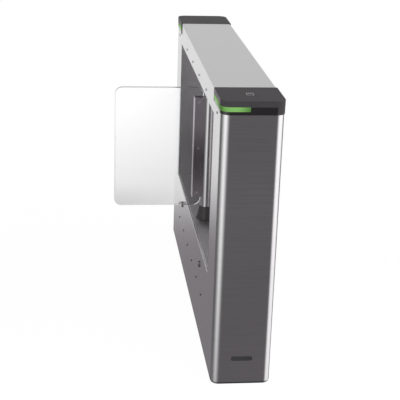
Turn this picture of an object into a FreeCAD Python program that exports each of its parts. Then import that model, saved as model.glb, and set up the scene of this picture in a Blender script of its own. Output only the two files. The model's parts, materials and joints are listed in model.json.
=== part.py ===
# Swing turnstile: a slim stainless steel pedestal with a clear wing on a driven post.
# Millimetres. X runs across the cabinet, Y along it and Z up. The origin is the middle of the base
# plate's underside. The lane is on the -X side, and the wing points to -X when it bars the way.
import FreeCAD, Part
import math
import os

V = FreeCAD.Vector
X_AXIS = V(1, 0, 0)
Y_AXIS = V(0, 1, 0)
Z_AXIS = V(0, 0, 1)

# Cabinet
cabinet_length = 1500.0
cabinet_width = 206.0
cabinet_height = 1000.0
corner_radius = 30.0
sheet = 2.0
play = 0.2
foot_gap = 4.0
base_thickness = 8.0
seam_gap = 1.0
seam_return = 6.0
lap_length = 20.0

# Floor fixing and cable entry
anchor_from_side = 41.0
anchor_from_end = 90.0
anchor_hole_radius = 7.0
cable_from_end = 250.0
cable_radius = 24.0
grommet_wall = 6.0
grommet_lip = 4.0

# Window and the bay behind it
column_depth = 194.0
sill_height = 333.0
header_height = 87.0
rim_depth = 7.5
rim_width = 10.0
rim_edge = 1.0
floor_drop = 2.0
back_wall_from_outside = 33.0

# Top cover and end caps
cover_skirt = 6.0
cover_edge_radius = 4.5
cap_length = 184.0
cap_gap = 0.5
cap_height = 46.0
cap_rise = 1.0
cap_overhang = 2.2
cap_wall = 3.0
cap_cable_radius = 15.0
lid_overhang = 0.4
lid_height = 19.8
lid_top = 4.0
lid_edge = 0.8
light_height = 15.3
light_end_x = -10.0
light_margin = 1.2
guide_depth = 5.0
light_board_thickness = 1.6
trim_from_side = 26.0
trim_recess = 0.4
reader_size = (100.0, 70.0, 8.0)

# Sensors in the lane side
eye_radius = 4.0
eye_proud = 2.2
eye_length = 7.8
upper_eye_drop = 64.0
upper_eye_pitch = 224.0
upper_eye_count = 4
column_eye_from_end = 103.0
lower_eye_height = 170.0
lower_eye_pitch = 165.0
lower_eye_count = 6
lower_eye_middle = 32.0
eye_board_height = 16.0
eye_board_thickness = 1.6
eye_board_margin = 20.0
beam_pitch = 657.0
beam_middle = 17.0
beam_below_window = 68.0
beam_bezel_radius = 14.0
beam_bezel_proud = 4.5
beam_body_radius = 11.0
beam_body_length = 34.0
beam_lens_radius = 7.5
beam_lens_length = 4.5
beam_lens_recess = 0.5

# Badge and panel screws
badge_width = 75.0
badge_height = 16.0
badge_thickness = 1.6
badge_centre_z = 96.5
panel_screw_head = 4.5
panel_screw_shank = 2.0
panel_screw_length = 10.0
panel_screw_from_end = 75.0
panel_screw_count = 5
panel_screw_above_floor = 40.0
panel_screw_below_top = 70.0

# Wing, clamp and post
pivot_from_lane_face = 56.5
wing_reach = 361.5
wing_above_sill = 55.0
wing_below_header = 51.0
wing_thickness = 12.0
wing_corner = 28.0
wing_edge = 1.2
post_radius = 24.15
post_wall = 3.0
clamp_reach = 59.5
clamp_inset = 37.0
clamp_thickness = 36.0
clamp_edge = 1.5
clamp_seat = 0.5
gasket = 1.0
gasket_inset = 2.0
clamp_screw_reach = 40.5
clamp_screw_inset = 17.5
clamp_screw_count = 3
clamp_screw_radius = 2.5
clamp_screw_head = 3.6
clamp_screw_head_height = 2.4
collar_height = 53.0
collar_base_radius = 38.0
collar_lip = 1.6
collar_clearance = 0.7
post_gap = 9.0
post_flange = 6.0
post_plug = 36.0
shaft_hole_gap = 3.0
top_pin_radius = 12.0
top_flange = 3.0
top_gap = 9.0
pin_beyond = 3.0
pin_hole_gap = 2.0
running_clearance = 0.05
upper_block_size = (70.0, 70.0, 18.0)

# Drive under the bay
shaft_radius = 15.0
drive_below_floor = 73.0
drive_plate_thickness = 12.0
drive_plate_gap = 11.0
drive_plate_length = 170.0
column_radius = 11.0
column_inset = 15.0
drive_screw_head = 8.0
drive_screw_head_height = 8.0
drive_screw_shank = 5.0
drive_screw_depth = 20.0
bearing_radius = 27.5
bearing_width = 13.0
bearing_lip = 2.0
housing_wall = 4.5
tooth_module = 2.0
gear_teeth = 50
pinion_teeth = 22
pressure_angle = math.radians(20.0)
tooth_backlash = 0.3
tooth_root = 1.25
gear_gap = 6.0
gear_width = 16.0
motor_radius = 34.0
motor_length = 148.0
motor_shaft_radius = 7.0
brake_step = 2.0
brake_length = 44.0
brake_wall = 5.0
brake_plate = 28.0
brake_air_gap = 1.0
brake_disc_gap = 3.0
brake_disc_thickness = 8.0
arm_width = 20.0
arm_thickness = 14.0
arm_reach = 50.0
arm_hub_radius = 24.0
arm_below_housing = 6.0
buffer_radius = 10.0
buffer_reach = 44.0
buffer_gap = 0.3
buffer_beyond = 4.0
shaft_beyond = 12.0
disc_radius = 40.0
disc_thickness = 2.0
disc_gap = 9.0
disc_slot_width = 6.0
park_turn = 90.0
sensor_slot = 6.0
sensor_jaw = 5.0
sensor_bite = 6.0
sensor_width = 16.0
sensor_post = 14.0
sensor_reach = 70.0

# Electrics in the base
supply_size = (98.0, 200.0, 42.0)
supply_y = -380.0
supply_edge = 2.0
board_size = (140.0, 220.0, 1.6)
board_y = 250.0
heat_sink_size = (40.0, 70.0, 25.0)
connector_size = (10.0, 160.0, 12.0)
connector_inset = 6.0
standoff_height = 18.0
standoff_radius = 4.0
standoff_inset = 10.0
rail_size = (35.0, 140.0, 7.5)
rail_x = 40.0
rail_y = -190.0
breaker_size = (80.0, 36.0, 52.0)
breaker_nose_width = 46.0
breaker_nose_height = 18.0
toggle_radius = 6.0
toggle_length = 20.0
toggle_clearance = 0.1
toggle_cover = 1.0
toggle_slot = 17.0
lever_size = (6.0, 14.0, 18.0)
lever_tilt = 25.0

# Levels and places worked out from the sizes above
half_width = cabinet_width / 2.0
half_length = cabinet_length / 2.0
inner_half_width = half_width - sheet
cap_top = cabinet_height + cap_rise
cap_bottom = cap_top - cap_height
lid_bottom = cap_top - lid_height
light_bottom = lid_bottom - light_height
cap_inner_y = half_length - cap_length
cap_middle_y = half_length - cap_length / 2.0
guide_room = guide_depth + light_board_thickness + play
light_inner_y = cap_inner_y + guide_room + light_margin
trim_end_x = half_width - trim_from_side
cover_bottom = cabinet_height - cover_skirt
seam_y = half_length - corner_radius - seam_return
panel_half_length = seam_y - seam_gap
panel_screw_pitch = 2.0 * (panel_half_length - panel_screw_from_end) / (panel_screw_count - 1)
anchor_x = half_width - anchor_from_side
anchor_y = half_length - anchor_from_end
cable_y = half_length - cable_from_end
half_window = half_length - column_depth
window_bottom = sill_height
window_top = cabinet_height - header_height
beam_height = window_bottom - beam_below_window
bay_floor_top = window_bottom - floor_drop
bay_ceiling_bottom = window_top + floor_drop
bay_ceiling_top = bay_ceiling_bottom + sheet
bay_lane_x = -half_width + rim_depth + play
back_wall_x = half_width - back_wall_from_outside
pivot_x = -half_width + pivot_from_lane_face
post_bore = post_radius - post_wall
wing_inner_x = pivot_x - post_radius - clamp_seat
wing_outer_x = pivot_x - wing_reach
wing_bottom = window_bottom + wing_above_sill
wing_top = window_top - wing_below_header
wing_middle = (wing_bottom + wing_top) / 2.0
clamp_height = wing_top - wing_bottom - 2.0 * clamp_inset
clamp_screw_pitch = (clamp_height - 2.0 * clamp_screw_inset) / (clamp_screw_count - 1)
clamp_face = clamp_thickness / 2.0
glass_face = wing_thickness / 2.0
flange_bottom = bay_floor_top + post_gap
post_bottom = flange_bottom + post_flange
post_top = bay_ceiling_bottom - top_gap - top_flange
drive_plate_bottom = bay_floor_top - drive_below_floor
drive_plate_width = 2.0 * (inner_half_width - drive_plate_gap)
drive_plate_top = drive_plate_bottom + drive_plate_thickness
gear_bottom = drive_plate_top + gear_gap
gear_top = gear_bottom + gear_width
disc_bottom = gear_top + disc_gap
disc_top = disc_bottom + disc_thickness
bearing_bottom = drive_plate_bottom - bearing_lip - bearing_width
housing_bottom = bearing_bottom - bearing_lip
arm_top = housing_bottom - arm_below_housing
arm_bottom = arm_top - arm_thickness
shaft_bottom = arm_bottom - shaft_beyond
motor_x = pivot_x + tooth_module * (gear_teeth + pinion_teeth) / 2.0
motor_bottom = drive_plate_bottom - motor_length
brake_bottom = motor_bottom - brake_length
brake_radius = motor_radius - brake_step
brake_disc_bottom = brake_bottom + brake_plate + brake_air_gap
board_bottom = base_thickness + standoff_height
rail_top = base_thickness + rail_size[2]
breaker_top = rail_top + breaker_size[2] + breaker_nose_height
toggle_z = breaker_top - toggle_radius - toggle_cover


def block(x, y, z):
    """A box between the low and high values of x, y and z."""
    return Part.makeBox(x[1] - x[0], y[1] - y[0], z[1] - z[0], V(x[0], y[0], z[0]))


def about(centre, size):
    """The low and high values of a span of this size about its centre."""
    return (centre - size / 2.0, centre + size / 2.0)


def standing(size, x, y, z):
    """A box of this size that stands on the height z, centred on x and y."""
    return block(about(x, size[0]), about(y, size[1]), (z, z + size[2]))


def rod(radius, low, high, x=0.0, y=0.0):
    """An upright cylinder from low to high."""
    return Part.makeCylinder(radius, high - low, V(x, y, low))


def cross_rod(radius, low, high, y, z):
    """A cylinder along X from low to high."""
    return Part.makeCylinder(radius, high - low, V(low, y, z), X_AXIS)


def near(a, b):
    return abs(a - b) < 1e-6


def edges_along(shape, axis, test):
    """The straight edges that run along the axis and whose two ends pass the test."""
    found = []
    for edge in shape.Edges:
        ends = [vertex.Point for vertex in edge.Vertexes]
        if len(ends) == 2 and near((ends[1] - ends[0]).cross(axis).Length, 0.0):
            if all(test(end) for end in ends):
                found.append(edge)
    return found


def rounded(shape, radius, axis, test=lambda end: True):
    """The shape with the edges along the axis rounded where their ends pass the test."""
    return shape.makeFillet(radius, edges_along(shape, axis, test))


def cabinet_plan(inset, z):
    """The cabinet's outline, drawn in by inset, as a solid between the two heights."""
    width = half_width - inset
    length = half_length - inset
    return rounded(block((-width, width), (-length, length), z), corner_radius - inset, Z_AXIS)


def cap_plan(inset, z):
    """The near cap's outline, drawn in by inset. A negative inset stands proud of three sides."""
    width = half_width + cap_overhang - inset
    outer = -half_length - cap_overhang + inset
    inner = -cap_inner_y - max(inset, 0.0)
    solid = block((-width, width), (outer, inner), z)
    return rounded(solid, corner_radius + cap_overhang - inset, Z_AXIS, lambda end: near(end.y, outer))


def far(shape):
    """The same piece at the far end of the cabinet."""
    return shape.mirror(V(0, 0, 0), Y_AXIS)


def spaced(count, pitch, middle=0.0):
    """Evenly spaced places about a middle."""
    return [middle + (i - (count - 1) / 2.0) * pitch for i in range(count)]


# Floor, shells and panels

def base_plate():
    plate = cabinet_plan(sheet + play, (0.0, base_thickness))
    for x in (-anchor_x, anchor_x):
        for y in (-anchor_y, anchor_y):
            plate = plate.cut(rod(anchor_hole_radius, 0.0, base_thickness, x, y))
    return plate.cut(rod(cable_radius + grommet_wall, 0.0, base_thickness, 0.0, cable_y))


def cable_grommet():
    top = base_thickness + grommet_lip
    ring = rod(cable_radius + grommet_wall - play, 0.0, base_thickness, 0.0, cable_y)
    ring = ring.fuse(rod(cable_radius + 2.0 * grommet_wall, base_thickness, top, 0.0, cable_y))
    return ring.cut(rod(cable_radius, 0.0, top, 0.0, cable_y))


def end_shell():
    """Rolled sheet round the near end, with a lap strip behind each side panel."""
    z = (foot_gap, cap_bottom)
    shell = cabinet_plan(0.0, z).cut(cabinet_plan(sheet, z))
    shell = shell.common(block((-half_width, half_width), (-half_length, -seam_y), z))
    lap_y = (-seam_y - seam_return, -seam_y + lap_length)
    lap_z = (base_thickness + play, cap_bottom - sheet - play)
    for side in (-1.0, 1.0):
        lap_x = sorted((side * inner_half_width, side * (inner_half_width - sheet)))
        shell = shell.fuse(block(lap_x, lap_y, lap_z))
    return shell.removeSplitter()


def side_sheet(x):
    """A flat side panel that drops to the caps' level over each end column."""
    panel = block(x, (-panel_half_length, panel_half_length), (foot_gap, cover_bottom))
    for end in (-1.0, 1.0):
        y = sorted((end * cap_inner_y, end * half_length))
        panel = panel.cut(block(x, y, (cap_bottom, cabinet_height)))
    return panel


def eye_rows():
    """The rows of small sensor eyes: places along the cabinet, and height."""
    upper = cabinet_height - upper_eye_drop
    column = half_length - column_eye_from_end
    return [([-column], upper), ([column], upper),
            (spaced(upper_eye_count, upper_eye_pitch), upper),
            (spaced(lower_eye_count, lower_eye_pitch, lower_eye_middle), lower_eye_height)]


def lane_side_panel():
    """The lane side: a sheet with the window, its folded rim and the sensor holes."""
    deep = (-half_width, -half_width + rim_depth)
    reach = half_window + rim_width
    rim = block(deep, (-reach, reach), (window_bottom - rim_width, window_top + rim_width))
    panel = side_sheet((-half_width, -inner_half_width)).fuse(rim).removeSplitter()
    panel = panel.cut(block(deep, (-half_window, half_window), (window_bottom, window_top)))

    def on_window(end):
        return near(abs(end.y), half_window) and (near(end.z, window_bottom) or near(end.z, window_top))

    edges = edges_along(panel, Y_AXIS, on_window) + edges_along(panel, Z_AXIS, on_window)
    panel = panel.makeFillet(rim_edge, edges)
    for places, z in eye_rows():
        for y in places:
            panel = panel.cut(cross_rod(eye_radius + play, deep[0], deep[1], y, z))
    for y in spaced(2, beam_pitch, beam_middle):
        panel = panel.cut(cross_rod(beam_body_radius + play, deep[0], deep[1], y, beam_height))
    return panel


def panel_screws(grow):
    """Flush countersunk screws, larger by grow where they cut their own holes."""
    screws = []
    for z in (panel_screw_above_floor, cabinet_height - panel_screw_below_top):
        for y in spaced(panel_screw_count, panel_screw_pitch):
            head = Part.makeCone(panel_screw_shank + grow, panel_screw_head + grow, sheet,
                                 V(inner_half_width, y, z), X_AXIS)
            shank = cross_rod(panel_screw_shank + grow, half_width - panel_screw_length,
                              inner_half_width, y, z)
            screws.append(head.fuse(shank))
    return screws


def outer_side_panel():
    panel = side_sheet((inner_half_width, half_width))
    for screw in panel_screws(play):
        panel = panel.cut(screw)
    return panel


def cover_tray(inset, radius):
    """A flat box with its two long upper edges rounded."""
    width = half_width - inset
    length = cap_inner_y - cap_gap
    top = cabinet_height - inset
    solid = block((-width, width), (-length, length), (cover_bottom, top))
    return rounded(solid, radius, Y_AXIS, lambda end: near(end.z, top))


def top_cover():
    """A shallow lid with both long edges bent down onto the side panels."""
    return cover_tray(0.0, cover_edge_radius).cut(cover_tray(sheet, cover_edge_radius - sheet))


# Bay behind the window

def bulkhead():
    """The bay's near wall, folded over at the top to close the end column."""
    wall = block((bay_lane_x, inner_half_width - play), (-half_window - sheet, -half_window),
                 (base_thickness, cover_bottom - play))
    fold = cabinet_plan(sheet + play, (cap_bottom - sheet, cap_bottom))
    fold = fold.common(block((-half_width, half_width), (-half_length, -half_window),
                             (cap_bottom - sheet, cap_bottom)))
    fold = fold.cut(rod(cap_cable_radius, cap_bottom - sheet, cap_bottom, 0.0, -cap_middle_y))
    return wall.fuse(fold).removeSplitter()


def bay_sheet(low):
    """A level sheet of the bay between the two bulkheads."""
    return block((bay_lane_x, back_wall_x + sheet), (-half_window, half_window), (low, low + sheet))


def bay_floor():
    low = bay_floor_top - sheet
    return bay_sheet(low).cut(rod(shaft_radius + shaft_hole_gap, low, bay_floor_top, pivot_x))


def bay_ceiling():
    low = bay_ceiling_bottom
    return bay_sheet(low).cut(rod(top_pin_radius + pin_hole_gap, low, bay_ceiling_top, pivot_x))


def bay_back_wall():
    return block((back_wall_x, back_wall_x + sheet), (-half_window, half_window),
                 (bay_floor_top, bay_ceiling_bottom))


# End caps

def light_zone():
    """The stretch of the cap's band that glows: the lane side, its corner and part of the end."""
    return block((-cabinet_width, light_end_x), (-cabinet_length, -light_inner_y),
                 (light_bottom, lid_bottom))


def trim_zone():
    """The stretch of the cap's side that holds the light and its dark trim."""
    return block((-cabinet_width, trim_end_x), (-cabinet_length, -light_inner_y), (cap_bottom, lid_bottom))


def band(outer_inset, inner_inset, low):
    """A ring of the cap's outline from the height low up to the lid."""
    z = (low, lid_bottom)
    return cap_plan(outer_inset, z).cut(cap_plan(inner_inset, z))


def cap_base():
    pocket = band(0.0, guide_depth, cap_bottom).common(trim_zone())
    foot = cap_plan(0.0, (cap_bottom, light_bottom)).cut(pocket)
    core = cap_plan(guide_room, (light_bottom, lid_bottom))
    rim = band(0.0, guide_room, light_bottom).cut(trim_zone())
    cavity = cap_plan(guide_room + cap_wall, (cap_bottom + cap_wall, lid_bottom))
    body = foot.fuse(core).fuse(rim).removeSplitter().cut(cavity)
    return body.cut(rod(cap_cable_radius, cap_bottom, light_bottom, 0.0, -cap_middle_y))


def light_guide():
    return band(0.0, guide_depth, light_bottom).common(light_zone())


def cap_trim():
    """A dark strip that runs under the light and fills the end beside it."""
    return band(trim_recess, guide_depth, cap_bottom).common(trim_zone()).cut(light_zone())


def light_board():
    """A strip of lamps that stands behind the straight part of the light guide."""
    low_x = -half_width - cap_overhang + guide_depth + play / 2.0
    return block((low_x, low_x + light_board_thickness),
                 (-half_length + corner_radius, -light_inner_y), (light_bottom, lid_bottom - play))


def cap_lid():
    lid = cap_plan(-lid_overhang, (lid_bottom, cap_top))
    brim = [edge for edge in lid.Edges if all(near(vertex.Z, cap_top) for vertex in edge.Vertexes)]
    lid = lid.makeFillet(lid_edge, brim)
    return lid.cut(cap_plan(cap_wall, (lid_bottom, cap_top - lid_top)))


def card_reader():
    return standing(reader_size, 0.0, -cap_middle_y, cap_top - lid_top - reader_size[2])


# Sensors and badge

def sensor_eyes():
    low = -half_width - eye_proud
    return [cross_rod(eye_radius, low, low + eye_length, y, z) for places, z in eye_rows() for y in places]


def eye_boards():
    """A strip behind each row of eyes, against their inner ends."""
    low_x = -half_width - eye_proud + eye_length
    boards = []
    for places, z in eye_rows():
        span = (places[0] - eye_board_margin, places[-1] + eye_board_margin)
        boards.append(block((low_x, low_x + eye_board_thickness), span, about(z, eye_board_height)))
    return boards


def beam_sensors():
    """Round sensor bodies with a bezel on the lane face and a pocket for the lens."""
    front = -half_width - beam_bezel_proud
    sensors = []
    for y in spaced(2, beam_pitch, beam_middle):
        body = cross_rod(beam_bezel_radius, front, -half_width, y, beam_height)
        body = body.fuse(cross_rod(beam_body_radius, -half_width, front + beam_body_length, y, beam_height))
        pocket = cross_rod(beam_lens_radius + play, front, front + beam_lens_recess + beam_lens_length,
                           y, beam_height)
        sensors.append(body.cut(pocket))
    return sensors


def beam_lenses():
    low = -half_width - beam_bezel_proud + beam_lens_recess
    return [cross_rod(beam_lens_radius, low, low + beam_lens_length, y, beam_height)
            for y in spaced(2, beam_pitch, beam_middle)]


def front_badge():
    """A bare plate with round ends on the near end."""
    plate = block(about(0.0, badge_width), (-half_length - badge_thickness, -half_length),
                  about(badge_centre_z, badge_height))
    return rounded(plate, badge_height / 2.0 - play, Y_AXIS)


# Post and wing

def post_shaft():
    """The driven shaft with the flange and plug that carry the post tube."""
    shaft = rod(shaft_radius, shaft_bottom, flange_bottom, pivot_x)
    flange = rod(post_radius, flange_bottom, post_bottom, pivot_x)
    plug = rod(post_bore - play, post_bottom, post_bottom + post_plug, pivot_x)
    return shaft.fuse(flange).fuse(plug).removeSplitter()


def post_tube():
    tube = rod(post_radius, post_bottom, post_top, pivot_x)
    return tube.cut(rod(post_bore, post_bottom, post_top, pivot_x))


def post_top_pin():
    plug = rod(post_bore - play, post_top - post_plug, post_top, pivot_x)
    flange = rod(post_radius, post_top, post_top + top_flange, pivot_x)
    end = bay_ceiling_top + upper_block_size[2] + pin_beyond
    pin = rod(top_pin_radius, post_top + top_flange, end, pivot_x)
    return plug.fuse(flange).fuse(pin).removeSplitter()


def upper_bearing_block():
    housing = standing(upper_block_size, pivot_x, 0.0, bay_ceiling_top)
    end = bay_ceiling_top + upper_block_size[2]
    return housing.cut(rod(top_pin_radius + running_clearance, bay_ceiling_top, end, pivot_x))


def post_collar():
    """A cone on the bay floor round the foot of the post."""
    bore = post_radius + collar_clearance
    top = bay_floor_top + collar_height
    cone = Part.makeCone(collar_base_radius, bore + collar_lip, collar_height, V(pivot_x, 0, bay_floor_top))
    return cone.cut(rod(bore, bay_floor_top, top, pivot_x))


def clamp_holes(shape):
    """The shape with the clamp screws' holes cut through it."""
    for z in spaced(clamp_screw_count, clamp_screw_pitch, wing_middle):
        hole = Part.makeCylinder(clamp_screw_radius + play, clamp_thickness,
                                 V(pivot_x - clamp_screw_reach, -clamp_face, z), Y_AXIS)
        shape = shape.cut(hole)
    return shape


def wing_panel():
    """A clear sheet with round corners, held by its inner edge."""
    panel = block((wing_outer_x, wing_inner_x), (-glass_face, glass_face), (wing_bottom, wing_top))
    panel = rounded(panel, wing_corner, Y_AXIS)
    rim = [edge for edge in panel.Edges if near(abs(edge.BoundBox.YMin), glass_face)
           and near(edge.BoundBox.YMin, edge.BoundBox.YMax)]
    return clamp_holes(panel.makeFillet(wing_edge, rim))


def clamp_jaw():
    """The near jaw: a bar with a hollow that seats on the post."""
    z = about(wing_middle, clamp_height)
    jaw = block((pivot_x - clamp_reach, pivot_x - post_radius / 2.0), (-clamp_face, -glass_face - gasket), z)
    jaw = rounded(jaw, clamp_edge, Z_AXIS, lambda end: near(end.x, pivot_x - clamp_reach)
                  and near(end.y, -clamp_face))
    return clamp_holes(jaw.cut(rod(post_radius + play, z[0], z[1], pivot_x)))


def clamp_gasket():
    """A thin pad between the near jaw and the clear sheet."""
    z = about(wing_middle, clamp_height - 2.0 * gasket_inset)
    pad = block((pivot_x - clamp_reach + gasket_inset, wing_inner_x), (-glass_face - gasket, -glass_face), z)
    return clamp_holes(pad)


def clamp_screws():
    """Screws through both jaws, with a button head on the near face and a nut on the far face."""
    screws = []
    for z in spaced(clamp_screw_count, clamp_screw_pitch, wing_middle):
        low = -clamp_face - clamp_screw_head_height
        foot = V(pivot_x - clamp_screw_reach, low, z)
        shank = Part.makeCylinder(clamp_screw_radius, 2.0 * -low, foot, Y_AXIS)
        ends = [Part.makeCylinder(clamp_screw_head, clamp_screw_head_height, V(foot.x, y, z), Y_AXIS)
                for y in (low, clamp_face)]
        screws.append(shank.fuse(ends).removeSplitter())
    return screws


# Drive

def gear(teeth, low, high, x, first_tooth):
    """A spur gear. Each flank is an arc through three points of its involute."""
    pitch_radius = tooth_module * teeth / 2.0
    base_radius = pitch_radius * math.cos(pressure_angle)
    root_radius = pitch_radius - tooth_root * tooth_module
    tip_radius = pitch_radius + tooth_module
    half_tooth = (math.pi * tooth_module / 2.0 - tooth_backlash) / 2.0 / pitch_radius
    start_radius = max(base_radius, root_radius)

    def involute(angle):
        return math.tan(angle) - angle

    def half_angle(radius):
        """Half the tooth's thickness at this radius, as an angle."""
        return half_tooth + involute(pressure_angle) - involute(math.acos(base_radius / radius))

    def point(radius, angle):
        return V(x + radius * math.cos(angle), radius * math.sin(angle), low)

    edges = []
    for i in range(teeth):
        middle = first_tooth + 2.0 * math.pi * i / teeth
        following = middle + 2.0 * math.pi / teeth
        foot = half_angle(start_radius)
        tip = half_angle(tip_radius)
        halfway = (start_radius + tip_radius) / 2.0
        rise = [point(start_radius, middle - foot), point(halfway, middle - half_angle(halfway)),
                point(tip_radius, middle - tip)]
        fall = [point(tip_radius, middle + tip), point(halfway, middle + half_angle(halfway)),
                point(start_radius, middle + foot)]
        root = [point(root_radius, middle + foot), point(root_radius, (middle + following) / 2.0),
                point(root_radius, following - foot)]
        edges.append(Part.Arc(*rise).toShape())
        edges.append(Part.Arc(rise[2], point(tip_radius, middle), fall[0]).toShape())
        edges.append(Part.Arc(*fall).toShape())
        if start_radius > root_radius:
            edges.append(Part.LineSegment(fall[2], root[0]).toShape())
        edges.append(Part.Arc(*root).toShape())
        if start_radius > root_radius:
            edges.append(Part.LineSegment(root[2], point(start_radius, following - foot)).toShape())
    return Part.Face(Part.Wire(edges)).extrude(V(0, 0, high - low))


def drive_gear():
    wheel = gear(gear_teeth, gear_bottom, gear_top, pivot_x, 0.0)
    return wheel.cut(rod(shaft_radius + play, gear_bottom, gear_top, pivot_x))


def pinion_shaft():
    """The motor's shaft with its pinion cut on it, a gap of teeth facing the large gear."""
    pinion = gear(pinion_teeth, gear_bottom, gear_top, motor_x, math.pi + math.pi / pinion_teeth)
    shaft = rod(motor_shaft_radius, brake_bottom + brake_plate / 2.0, gear_bottom, motor_x)
    return pinion.fuse(shaft).removeSplitter()


def column_places():
    return [(x, y) for x in spaced(2, drive_plate_width - 2.0 * column_inset)
            for y in spaced(2, drive_plate_length - 2.0 * column_inset)]


def drive_plate():
    size = (drive_plate_width, drive_plate_length, drive_plate_thickness)
    plate = standing(size, 0.0, 0.0, drive_plate_bottom)
    holes = [(shaft_radius + shaft_hole_gap, pivot_x, 0.0), (motor_shaft_radius + shaft_hole_gap, motor_x, 0.0)]
    holes += [(drive_screw_shank + play, x, y) for x, y in column_places()]
    for radius, x, y in holes:
        plate = plate.cut(rod(radius, drive_plate_bottom, drive_plate_top, x, y))
    return plate


def drive_columns():
    """Round legs between the base plate and the drive plate, tapped at the top."""
    low = drive_plate_bottom - drive_screw_depth
    columns = []
    for x, y in column_places():
        leg = rod(column_radius, base_thickness, drive_plate_bottom, x, y)
        columns.append(leg.cut(rod(drive_screw_shank + play, low - play, drive_plate_bottom, x, y)))
    return columns


def drive_screws():
    low = drive_plate_bottom - drive_screw_depth
    screws = []
    for x, y in column_places():
        shank = rod(drive_screw_shank, low, drive_plate_top, x, y)
        head = rod(drive_screw_head, drive_plate_top, drive_plate_top + drive_screw_head_height, x, y)
        screws.append(shank.fuse(head).removeSplitter())
    return screws


def bearing_housing():
    cup = rod(bearing_radius + housing_wall, housing_bottom, drive_plate_bottom, pivot_x)
    cup = cup.cut(rod(bearing_radius + play, bearing_bottom, drive_plate_bottom, pivot_x))
    return cup.cut(rod(shaft_radius + shaft_hole_gap, housing_bottom, bearing_bottom, pivot_x))


def lower_bearing():
    top = bearing_bottom + bearing_width
    ring = rod(bearing_radius, bearing_bottom, top, pivot_x)
    return ring.cut(rod(shaft_radius + running_clearance, bearing_bottom, top, pivot_x))


def gear_motor():
    body = rod(motor_radius, motor_bottom, drive_plate_bottom, motor_x)
    return body.cut(rod(motor_shaft_radius + running_clearance, motor_bottom, drive_plate_bottom, motor_x))


def brake_coil():
    """A cup under the motor that holds the brake's coil and shields its disc."""
    cup = rod(brake_radius, brake_bottom, motor_bottom, motor_x)
    cup = cup.cut(rod(brake_radius - brake_wall, brake_bottom + brake_plate, motor_bottom, motor_x))
    return cup.cut(rod(motor_shaft_radius + shaft_hole_gap, brake_bottom, brake_bottom + brake_plate, motor_x))


def brake_disc():
    top = brake_disc_bottom + brake_disc_thickness
    disc = rod(brake_radius - brake_wall - brake_disc_gap, brake_disc_bottom, top, motor_x)
    return disc.cut(rod(motor_shaft_radius + play, brake_disc_bottom, top, motor_x))


def stop_arm():
    hub = rod(arm_hub_radius, arm_bottom, arm_top, pivot_x)
    bar = block((pivot_x - arm_reach, pivot_x), about(0.0, arm_width), (arm_bottom, arm_top))
    return hub.fuse(bar).removeSplitter().cut(rod(shaft_radius + play, arm_bottom, arm_top, pivot_x))


def stop_buffers():
    """Rubber posts under the drive plate, where the arm comes to rest at either end of its swing."""
    x = pivot_x + arm_width / 2.0 + buffer_gap + buffer_radius
    return [rod(buffer_radius, arm_bottom - buffer_beyond, drive_plate_bottom, x, y)
            for y in spaced(2, 2.0 * buffer_reach)]


def position_disc():
    """A slotted disc on the shaft, with a slot for each parked place and for the barred way."""
    disc = rod(disc_radius, disc_bottom, disc_top, pivot_x)
    slot = block(about(pivot_x, disc_slot_width), (-disc_radius, -disc_radius + sensor_bite),
                 (disc_bottom, disc_top))
    for turn in (-park_turn, 0.0, park_turn):
        disc = disc.cut(slot.rotated(V(pivot_x, 0, 0), Z_AXIS, turn))
    return disc.cut(rod(shaft_radius + play, disc_bottom, disc_top, pivot_x))


def position_sensor():
    """A forked light gate on a post, with the disc's edge between its jaws."""
    slot = about((disc_bottom + disc_top) / 2.0, sensor_slot)
    fork = (slot[0] - sensor_jaw, slot[1] + sensor_jaw)
    inner = -disc_radius + sensor_bite
    wide = about(pivot_x, sensor_width)
    post = block(wide, about(-sensor_reach, sensor_post), (drive_plate_top, fork[1]))
    jaws = block(wide, (-sensor_reach, inner), fork)
    gate = block(wide, (-sensor_reach + sensor_post / 2.0, inner), slot)
    return post.fuse(jaws).removeSplitter().cut(gate)


# Electrics

def power_supply():
    body = standing(supply_size, 0.0, supply_y, base_thickness)
    return rounded(body, supply_edge, Z_AXIS)


def control_board():
    """The circuit board with its heat sink and two rows of connectors."""
    board = standing(board_size, 0.0, board_y, board_bottom)
    top = board_bottom + board_size[2]
    board = board.fuse(standing(heat_sink_size, 0.0, board_y, top))
    for x in spaced(2, board_size[0] - 2.0 * connector_inset - connector_size[0]):
        board = board.fuse(standing(connector_size, x, board_y, top))
    return board.removeSplitter()


def board_standoffs():
    return [rod(standoff_radius, base_thickness, board_bottom, x, board_y + y)
            for x in spaced(2, board_size[0] - 2.0 * standoff_inset)
            for y in spaced(2, board_size[1] - 2.0 * standoff_inset)]


def din_rail():
    return standing(rail_size, rail_x, rail_y, base_thickness)


def toggle_pin(radius, length):
    """A cylinder along Y on the breaker lever's axis."""
    return Part.makeCylinder(radius, length, V(rail_x, rail_y - length / 2.0, toggle_z), Y_AXIS)


def circuit_breaker():
    """The mains switch on the rail, with a slot in its nose for the lever."""
    body = standing(breaker_size, rail_x, rail_y, rail_top)
    nose = (breaker_nose_width, breaker_size[1], breaker_nose_height)
    body = body.fuse(standing(nose, rail_x, rail_y, rail_top + breaker_size[2])).removeSplitter()
    long = toggle_length + 2.0 * toggle_clearance
    slot = block(about(rail_x, toggle_slot), about(rail_y, long), (toggle_z, breaker_top))
    return body.cut(slot).cut(toggle_pin(toggle_radius + toggle_clearance, long))


def breaker_toggle():
    lever = standing(lever_size, rail_x, rail_y, toggle_z)
    lever = lever.rotated(V(rail_x, rail_y, toggle_z), Y_AXIS, lever_tilt)
    return toggle_pin(toggle_radius, toggle_length).fuse(lever).removeSplitter()


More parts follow.
